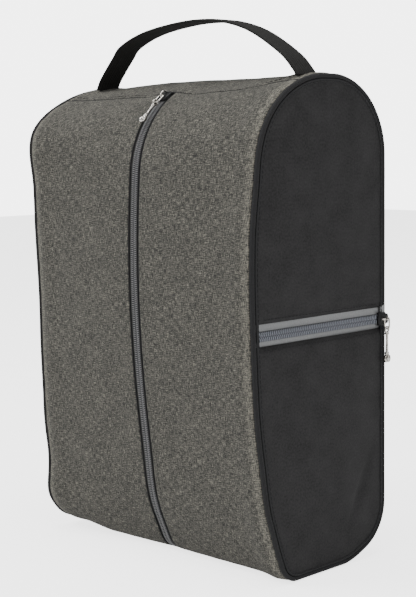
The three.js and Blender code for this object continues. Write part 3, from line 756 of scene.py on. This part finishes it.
def side_cloth(name, sign, z_low, z_high, folds, old, seed):
    """A side's cloth between two heights. Each end is folded along the zip, or rounded by the outline."""
    inset = 3.4
    span = z_high - z_low
    low_round, high_round = not folds[0], not folds[1]
    count = max(8, int(span / 3))
    heights = []
    for i in range(count + 1):
        t = i / count
        if low_round and high_round:
            t = (1 - math.cos(math.pi * t)) / 2
        elif low_round:
            t = 1 - math.cos(math.pi / 2 * t)
        elif high_round:
            t = math.sin(math.pi / 2 * t)
        heights.append(z_low + span * t)
    bounds = {z: panel_bounds(z, inset) for z in heights}
    cols = steps(0, 1, 1 / 44)

    def place(z, t, inner):
        front, back = bounds[z]
        y = front + (back - front) * t
        ends = (z - z_low, z_high - z)
        edge = min(y - front, back - y, *(end for end, folded in zip(ends, folds) if not folded))
        fold = min((end for end, folded in zip(ends, folds) if folded), default=FAR)
        puff = 2.2 * smooth(edge, 0, 45) * smooth(fold, -6, 40)
        waves = 0.8 * ripple(y, z, 70, seed) + 0.3 * ripple(y, z, 22, seed + 4)
        # A soft crease runs into the lower back corner.
        crease = -1.6 * bell(y - 44 - 0.5 * (z - 60), 0, 5) * bell(z, 52, 22) * (sign > 0)
        out = PANEL_OUT + puff + waves * smooth(edge, 0, 14) + crease
        out += pucker(edge, y + z, seed + 6)
        if inner:
            out -= FABRIC
        else:
            out -= rolled(fold, 0.8)
        return warp((sign * out, y, z))

    piece = sheet_piece(name, heights, cols, place, [OXFORD, LINING], "shell", "oxford", old=old)
    layer = piece.data.uv_layers["cloth"]
    for lp in piece.data.loops:
        co = piece.data.vertices[lp.vertex_index].co
        layer.data[lp.index].uv = (co.y / MM / 10, co.z / MM / 10)
    return piece


def edge_ring(name, sign, insets, surface, thickness, materials, slot, old=()):
    """A flat ring of cloth that follows the outline on a side."""
    rows = steps(0, loop.length, 3)[:-1]

    def place(s, inset, inner):
        point, _ = loop.at(s, -inset)
        near = min(inset - insets[0], insets[-1] - inset)
        out = surface - rolled(near, 0.5) + 0.15 * ripple(s, inset, 16, 5)
        if inner:
            out = surface - thickness
        return warp((sign * out, point.x, point.y))

    return sheet_piece(name, rows, insets, place, materials, "shell", slot, closed=True, old=old)


def sides():
    low, high = box_mm("side_panel_left")
    slot_low, slot_high = SIDE_ZIP_Z - ZIP_SLOT_BELOW, SIDE_ZIP_Z + ZIP_SLOT_ABOVE
    side_cloth("side_cloth_left", -1, low.z, high.z, (False, False), ["side_panel_left"], 51)
    side_cloth("side_cloth_right_upper", 1, slot_high, high.z, (True, False), ["side_panel_right_upper"], 57)
    side_cloth("side_cloth_right_lower", 1, low.z, slot_low, (False, True), ["side_panel_right_lower"], 61)
    for side, sign in (("left", -1), ("right", 1)):
        path = []
        for s in steps(0, loop.length, 3)[:-1]:
            point, _ = loop.at(s, -PIPING_RADIUS + 0.3 + 0.12 * ripple(s, 0, 14, 3))
            lift = max(point.y, PIPING_RADIUS + 0.05)
            path.append(warp((sign * (HALF_WIDTH - PIPING_RADIUS), point.x, lift)))
        tube_piece(f"piping_cord_{side}", path, PIPING_RADIUS, 14, PIPING, "shell", "piping",
                   closed=True, old=[f"piping_{side}"])
        edge_ring(f"piping_flange_{side}", sign, [3.3, 3.6, 4.0, 4.5, 4.9, 5.2, 5.5], PANEL_OUT + 0.55,
                  0.9, [FLANGE], "piping")
        edge_ring(f"binding_{side}", sign, [3.9, 4.5, 6, 8, 10, 10.9], SIDE_TAPE_X - 1.1,
                  2.2, [PIPING], "piping", old=[f"seam_binding_{side}"])
        line = []
        for s in steps(0, loop.length, 3):
            point, _ = loop.at(s, -4.9)
            line.append(warp((sign * (PANEL_OUT + 0.62), point.x, point.y)))
        stitch_row(f"piping_stitches_{side}", line, DARK_THREAD, "shell", "piping", 2.4, 0.9, 0.22)


# ---------------------------------------------------------------- side zip and pocket


def side_zip():
    y0, y1 = box_mm("side_tape_upper")[0].y, box_mm("side_tape_upper")[1].y
    for name, sign in (("upper", 1), ("lower", -1)):
        def place(y, across, inner, sign=sign):
            z = SIDE_ZIP_Z + sign * across
            wave = 0.12 * ripple(y, z, 12, 8)
            return warp((SIDE_TAPE_X + wave - (TAPE_THICKNESS if inner else 0.0), y, z))

        sheet_piece(
            f"side_tape_{name}_cloth", steps(y0 - 3, y1 + 1.5, 2.5),
            [0.12, 1, 2, 3, 4, 5, 6, 7, 8, 9, 10.5, 12, 14], place, [SIDE_TAPE], "shell", "side_tape",
            old=[f"side_tape_{name}"],
        )
        coil_piece(
            f"side_coil_{name}_wire", y0 - 1, y1 - 3.3,
            lambda y, across, out, sign=sign: warp(
                (SIDE_COIL_X - 0.3 + out, y, SIDE_ZIP_Z + sign * across)
            ),
            0.0 if sign < 0 else 0.5, SIDE_COIL, "shell", old=[f"side_coil_{name}"], pitch=1.8, wire=0.45,
        )
        edge = SIDE_ZIP_Z + (ZIP_SLOT_ABOVE if sign > 0 else -ZIP_SLOT_BELOW) + sign * 2.6
        if sign > 0:
            zip_tab(y1 - 1.5)
        line = [warp((PANEL_OUT + 0.35 + 0.4 * smooth(min(y - y0, y1 - y), 0, 45), y, edge))
                for y in steps(y0 + 5, y1 - 5, 2.5)]
        stitch_row(f"side_stitches_{name}", line, DARK_THREAD, "shell", "oxford", 2.4, 0.9, 0.22)


def zip_tab(y_end):
    """The end of the side tape, turned over the back piping under the slider."""
    def place(y, z, inner):
        bend = smooth(y, HALF_DEPTH - 1.5, HALF_DEPTH + 0.6)
        x = HALF_WIDTH + 0.22 - 3.2 * bend * bend - 1.2 * smooth(HALF_DEPTH - 3 - y, 0, 5)
        flare = 1 + 0.22 * smooth(y, HALF_DEPTH - 8, HALF_DEPTH)
        if inner:
            x, y = x - 0.4, y - 0.3 * bend
        return Vector((x, y, SIDE_ZIP_Z + z * flare))

    rows, cols = steps(y_end, HALF_DEPTH + 0.6, 0.6), steps(-ZIP_SLOT_BELOW, ZIP_SLOT_ABOVE, 0.9)
    sheet_piece("side_tape_tab", rows, cols, place, [SIDE_TAPE], "shell", "side_tape")


def pocket():
    low, high = box_mm("pocket_lining")
    rows = steps(low.z, high.z, 3)
    cols = steps(low.y, high.y, 3)

    def place(z, y, inner):
        edge = min(z - low.z, high.z - z, y - low.y, high.y - y)
        depth = (high.x - low.x - 1.2) * smooth(edge, 0, 7)
        bag = 0.5 * ripple(y, z, 30, 71) * smooth(edge, 2, 12)
        x = high.x - 1.2 - depth + bag
        return Vector((x + (0.0 if inner else 1.0), y, z))

    sheet_piece("pocket_cloth", rows, cols, place, [LINING], "shell", "lining", old=["pocket_lining"])


# ---------------------------------------------------------------- metalwork


def lathe(profile, sides=24):
    """Vertices and faces of a round piece about +Y, from (y, radius) points."""
    verts = []
    for y, radius in profile:
        verts += ring(Vector((0, y, 0)), Vector((1, 0, 0)), Vector((0, 0, 1)), radius, sides)
    return verts, ring_faces(len(profile), sides)


def torus(radius, wire, centre, around=28, sides=12):
    """A ring in the (y, z) plane."""
    verts = []
    for i in range(around):
        a = math.tau * i / around
        for k in range(sides):
            b = math.tau * k / sides
            reach = radius + wire * math.cos(b)
            verts.append(Vector((wire * math.sin(b), centre + reach * math.cos(a), reach * math.sin(a))))
    return verts, ring_faces(around, sides, closed=True)


def merged(*meshes):
    verts, faces = [], []
    for v, f in meshes:
        base = len(verts)
        verts += v
        faces += [tuple(base + i for i in face) for face in f]
    return verts, faces


def joint(name):
    return next(j for j in frame["joints"] if j["name"] == name)


def ellipsoid(centre, radii, around=20, up=12):
    verts = []
    for i in range(up + 1):
        polar = math.pi * min(max(i / up, 0.004), 0.996)
        for k in range(around):
            angle = math.tau * k / around
            verts.append(Vector((
                centre[0] + radii[0] * math.sin(polar) * math.cos(angle),
                centre[1] + radii[1] * math.cos(polar),
                centre[2] + radii[2] * math.sin(polar) * math.sin(angle),
            )))
    return verts, ring_faces(up + 1, around)


def pull_piece(name, pivot, direction, length, ball, body, old):
    """An eye, a turned rod, and a small club head that holds a ball."""
    eye_radius, wire = 1.9, 0.65
    eye_centre = eye_radius - wire - 0.6 - 0.3
    start = eye_centre + eye_radius
    ball_centre = length - ball
    neck = ball_centre - ball * 0.86
    profile = [(start - 0.5, 0.35), (start, 1.1), (start + 0.5, 1.5), (start + 1.4, 1.5)]
    profile += [(start + 1.8, 1.0)]
    profile += [(start + 3, 0.95), ((start + neck) / 2, 0.92), (neck - 2.4, 1.0), (neck - 1.9, 1.4)]
    profile += [(neck - 1.1, 1.55), (neck - 0.4, 1.4), (neck + 0.8, 1.2), (neck + 1.2, 0.4)]
    head = ellipsoid((1.5, ball_centre - 0.3, 0), (1.15, ball * 0.92, ball * 0.62))
    globe = ellipsoid((-0.9, ball_centre + ball * 0.12, 0), (ball * 0.8, ball * 0.86, ball * 0.8))
    verts, faces = merged(lathe(profile), torus(eye_radius, wire, eye_centre), head, globe)
    turn = Vector((0, 1, 0)).rotation_difference(direction).to_matrix()
    verts = [turn @ v + pivot for v in verts]
    return make_piece(name, verts, faces, [NICKEL], body, "nickel", old=old)


PLATE = 1.7
CROWN_HIGH = 2.75
CROWN_HALF = 3.15
CROWN_WIRE = 0.62
FLANGE_INNER = 3.55
FLANGE_OUTER = 4.4
LINK_LENGTH = 8.4
LINK_RADIUS = 2.1
LINK_WIRE = 0.6


def slider_pieces(name, origin, along, out, body, old):
    """A moulded slider: a shield-shaped plate with side flanges in black, and a bright crown for the link."""
    across = along.cross(out).normalized()

    def to_world(u, v, w):
        return origin + across * u + along * v + out * w

    outline = []
    widths = ((-5.5, 2.2), (-5.1, 3.7), (-4, 4.4), (-1, 4.4), (2.5, 3.9), (4.8, 3.3), (5.5, 2.2))
    for v, half in widths:
        outline.append((half, v))
    outline += [(-half, v) for half, v in reversed(outline)]
    rings = [(0.0, 1.0), (0.25, 1.0), (PLATE - 0.55, 1.0), (PLATE - 0.15, 0.95), (PLATE, 0.86)]
    rings += [(PLATE + 0.12, 0.5)]
    verts = [Vector((u * k, v * k, w)) for w, k in rings for u, v in outline]
    parts = [(verts, ring_faces(len(rings), len(outline)))]
    box_faces = [(0, 3, 2, 1), (4, 5, 6, 7), (0, 1, 5, 4), (1, 2, 6, 5), (2, 3, 7, 6), (3, 0, 4, 7)]
    for sign in (-1, 1):
        low, high = sorted((sign * FLANGE_INNER, sign * FLANGE_OUTER))
        foot = ((low, -4), (high, -4), (high, 3.4), (low, 3.4))
        parts.append(([Vector((u, v, w)) for w in (-1.5, 0.4) for u, v in foot], box_faces))
    for v in (-CROWN_HALF, CROWN_HALF):
        parts.append(ellipsoid((0, v, PLATE + 0.05), (1.5, 1.2, 0.75)))
    verts, faces = merged(*parts)
    verts = [to_world(*v) for v in verts]
    outward(make_piece(f"{name}_shield", verts, faces, [BLACK_METAL], body, "black_metal", old=old))
    arch = []
    for k in range(25):
        angle = math.pi * k / 24
        rise = PLATE + CROWN_HIGH * math.sin(angle) ** 0.6
        arch.append(to_world(0, -CROWN_HALF * math.cos(angle), rise))
    tube_piece(f"{name}_crown", arch, CROWN_WIRE, 12, NICKEL, body, "nickel")


def oval_link(name, start, direction, across, body, old):
    """A wire oval from its near end, in the plane of two directions."""
    path = []
    for end, middle in ((math.pi, LINK_RADIUS), (0.0, LINK_LENGTH - LINK_RADIUS)):
        for k in range(18):
            angle = end + math.pi * k / 17
            path.append((LINK_RADIUS * math.cos(angle), middle + LINK_RADIUS * math.sin(angle)))
    centres = [start + across * u + direction * v for u, v in path]
    normal = across.cross(direction).normalized()
    verts = []
    sides = 12
    count = len(centres)
    for i, p in enumerate(centres):
        tangent = (centres[(i + 1) % count] - centres[i - 1]).normalized()
        verts += ring(p, tangent.cross(normal), normal, LINK_WIRE, sides)
    faces = ring_faces(count, sides, closed=True)
    outward(make_piece(name, verts, faces, [NICKEL], body, "nickel", old=old))


def polish_cad():
    """The small stops keep their own shape, with worn enamel and softened edges."""
    for name in ("front_bottom_stop", "side_top_stop_upper", "side_top_stop_lower", "side_end_stop"):
        node = frame["nodes"][name]
        node.data.materials.clear()
        node.data.materials.append(BLACK_METAL)
        bevel = node.modifiers.new("soft_edges", "BEVEL")
        bevel.width = 0.0003
        bevel.segments = 3
        bevel.limit_method = "ANGLE"
        bevel.angle_limit = math.radians(35)


FRONT_PULL_LENGTH = 19.4
FRONT_BALL = 2.7
SIDE_PULL_LENGTH = 24
SIDE_BALL = 3


def joint_mm(name):
    return Vector(joint(name)["pos_m"]) / MM


def metalwork():
    right, down = Vector((1, 0, 0)), Vector((0, 0, -1))
    link, eye = joint_mm("front_link_swing"), joint_mm("front_pull_swing")
    low, _ = box_mm("front_pull")
    ball = Vector((0, low.y + FRONT_BALL, low.z + FRONT_BALL))
    oval_link("front_link_wire", link, (eye - link).normalized(), right, "front_slider_link", ["front_link"])
    pull_piece("front_pull_rod", eye, (ball - eye).normalized(), FRONT_PULL_LENGTH, FRONT_BALL,
               "front_slider_pull", ["front_pull"])
    low, high = box_mm("side_link")
    start = Vector(((low.x + high.x) / 2, (low.y + high.y) / 2, high.z - LINK_WIRE))
    oval_link("side_link_wire", start, down, right, "side_slider_link", ["side_link"])
    pull_piece("side_pull_rod", joint_mm("side_pull_swing"), down, SIDE_PULL_LENGTH, SIDE_BALL,
               "side_slider_pull", ["side_pull"])
    middle = ARC_STARTS[FRONT_CURVE] + TOP_FRONT_RADIUS * math.radians(FRONT_SLIDER_ANGLE)
    point, normal = loop.at(middle, -0.1)
    origin, out = Vector((0, point.x, point.y)), Vector((0, normal.x, normal.y))
    slider_pieces("front_slider", origin, right.cross(out), out, "front_slider", ["front_slider_body"])
    low, high = box_mm("side_slider_body")
    origin = Vector((high.x - 3.3 - PLATE, (low.y + high.y) / 2, SIDE_ZIP_Z))
    slider_pieces("side_slider", origin, Vector((0, 1, 0)), right, "side_slider", ["side_slider_body"])
    for side, sign in (("left", -1), ("right", 1)):
        start = S_TOP + 2.4
        bar = [on_wrap(sign * u, start, 0.95) for u in (0.5, 0.7, 1.2, 2, 2.6, 2.8)]
        tube_piece(f"front_stop_{side}", bar, 0.75, 10, BLACK_METAL, "shell", "black_metal",
                   old=[f"front_top_stop_{side}"])
    polish_cad()


# ---------------------------------------------------------------- handle


def smooth_path(points):
    """A curve through (x, z) points, as a function of 0 to 1 along it."""
    knots = [Vector((x, 0, z)) for x, z in points]
    knots = [2 * knots[0] - knots[1], *knots, 2 * knots[-1] - knots[-2]]
    dense = []
    for k in range(1, len(knots) - 2):
        p0, p1, p2, p3 = knots[k - 1:k + 3]
        for i in range(24):
            t = i / 24
            dense.append(0.5 * (2 * p1 + (p2 - p0) * t + (2 * p0 - 5 * p1 + 4 * p2 - p3) * t * t
                                + (3 * p1 - p0 - 3 * p2 + p3) * t**3))
    dense.append(knots[-2])
    total, walk = walk_along(dense)
    return lambda t: walk(min(max(t, 0), 1) * total)


STRAP_HALF = 10  # half the webbing's width
STRAP_RUN = 260  # its length, as the weave counts it
STRAP_STEPS = 440
RIB_PITCH = 1.65


def handle():
    low, high = box_mm("handle_webbing")
    pivot = joint_mm("handle_fold")
    centre_y = (low.y + high.y) / 2
    foot = HEIGHT - 0.6
    arch = smooth_path([
        (-96, foot - 3), (-91, foot + 5), (-78, foot + 19), (-68, foot + 28), (-42, foot + 36.5),
        (-4, foot + 41), (27, foot + 40.5), (50, foot + 36), (70, foot + 28), (93, foot + 14),
        (103.5, foot + 4), (107, foot - 0.6),
    ])

    stations = steps(0, 1, 1 / STRAP_STEPS)
    widths = steps(-STRAP_HALF, STRAP_HALF, 0.42)

    def place(t, y, inner):
        here = arch(t)
        ahead = arch(min(t + 0.02, 1)) - arch(max(t - 0.02, 0))
        normal = Vector((-ahead.z, 0, ahead.x)).normalized()
        edge = STRAP_HALF - abs(y)
        half = 0.9 * (1 - 0.55 * math.exp(-edge / 0.5))
        rib = 0.17 * math.cos(y / RIB_PITCH * math.tau)
        twill = 0.1 * math.sin((t * STRAP_RUN / 1.4 + y / RIB_PITCH) * math.tau)
        saw = 0.3 * math.sin(t * STRAP_RUN / 2.6 * math.tau) * math.exp(-edge / 0.5)
        lift = (half + rib + twill) * (-1 if inner else 1)
        swing = 1.2 * math.sin(math.pi * t)
        point = here + normal * lift
        return Vector((point.x, centre_y + swing + y + math.copysign(saw, y), point.z))

    strap = sheet_piece("handle_strap", stations, widths, place, [WEBBING], None, "webbing",
                        old=["handle_webbing"])
    layer = strap.data.uv_layers["cloth"]
    index = np.empty(len(strap.data.loops), np.int32)
    strap.data.loops.foreach_get("vertex_index", index)
    per_layer = len(stations) * len(widths)
    rows = (index % per_layer) // len(widths)
    cols = (index % per_layer) % len(widths)
    uv = np.stack([np.array(widths)[cols] / 10, rows / STRAP_STEPS * STRAP_RUN / 10], 1).astype(np.float32)
    layer.data.foreach_set("uv", uv.ravel())
    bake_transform(strap)


# ---------------------------------------------------------------- camera, floor and light


def camera():
    data = bpy.data.cameras.new("camera")
    data.lens = 82.25
    data.sensor_width = 36
    eye = add_object("camera", data)
    forward = Vector((-0.7100, 0.6950, -0.1130)).normalized()
    right = forward.cross(Vector((0, 0, 1))).normalized()
    up = right.cross(forward)
    roll = math.radians(-0.78)
    tilted = right * math.cos(roll) + up * math.sin(roll)
    upright = tilted.cross(forward)
    turn = Matrix((tilted, upright, -forward)).transposed().to_4x4()
    eye.matrix_world = Matrix.Translation((0.711, -0.691, 0.294)) @ turn
    bpy.context.scene.camera = eye


def light(name, place, aim, size, power, color=(1, 1, 1)):
    data = bpy.data.lights.new(name, "AREA")
    data.shape = "RECTANGLE"
    data.size, data.size_y = size
    data.energy = power
    data.color = color
    lamp = add_object(name, data)
    lamp.location = place
    lamp.rotation_euler = (Vector(aim) - Vector(place)).to_track_quat("-Z", "Y").to_euler()


FLOOR_Z = -0.0006


def studio():
    mesh = bpy.data.meshes.new("floor")
    corners = [(x, y, FLOOR_Z) for x, y in ((-4, -4), (4, -4), (4, 4), (-4, 4))]
    mesh.from_pydata(corners, [], [(0, 1, 2, 3)])
    floor = add_object("floor", mesh)
    n = Nodes("floor", 0.9)
    mottle = n.noise(n.object_at(), 6, 3)
    pale = n.ramp(mottle, [(0.3, srgb(0.95, 0.95, 0.95)), (0.7, srgb(0.97, 0.97, 0.97))])
    n.shader.inputs["Emission Color"].default_value = (1, 1, 1, 1)
    camera_ray = n.add("LightPath").outputs["Is Camera Ray"]
    seen = n.add("MapRange", {"Value": camera_ray, "To Min": 0.25, "To Max": 2.6})
    n.tree.links.new(seen.outputs[0], n.shader.inputs["Emission Strength"])
    mesh.materials.append(n.finish(pale))
    world = bpy.data.worlds.new("studio")
    bpy.context.scene.world = world
    world.use_nodes = True
    background = world.node_tree.nodes["Background"]
    background.inputs["Color"].default_value = (1, 1, 1, 1)
    # The backdrop is brighter to look at than the light it gives.
    path = world.node_tree.nodes.new("ShaderNodeLightPath")
    strength = world.node_tree.nodes.new("ShaderNodeMapRange")
    strength.inputs["To Min"].default_value = 0.62
    strength.inputs["To Max"].default_value = 5.0
    world.node_tree.links.new(path.outputs["Is Camera Ray"], strength.inputs["Value"])
    world.node_tree.links.new(strength.outputs[0], background.inputs["Strength"])
    light("key", (-0.9, -1.2, 1.7), (0, 0, 0.18), (0.9, 0.8), 24)
    light("fill", (1.7, -0.3, 0.9), (0, 0, 0.18), (1.0, 1.4), 7)
    light("top", (0.1, -0.1, 1.9), (0, 0, 0.2), (0.9, 0.7), 17)


camera()
for half in ("left", "right"):
    front_half(half)
wrap_panels()
sides()
side_zip()
pocket()
metalwork()
handle()
studio()
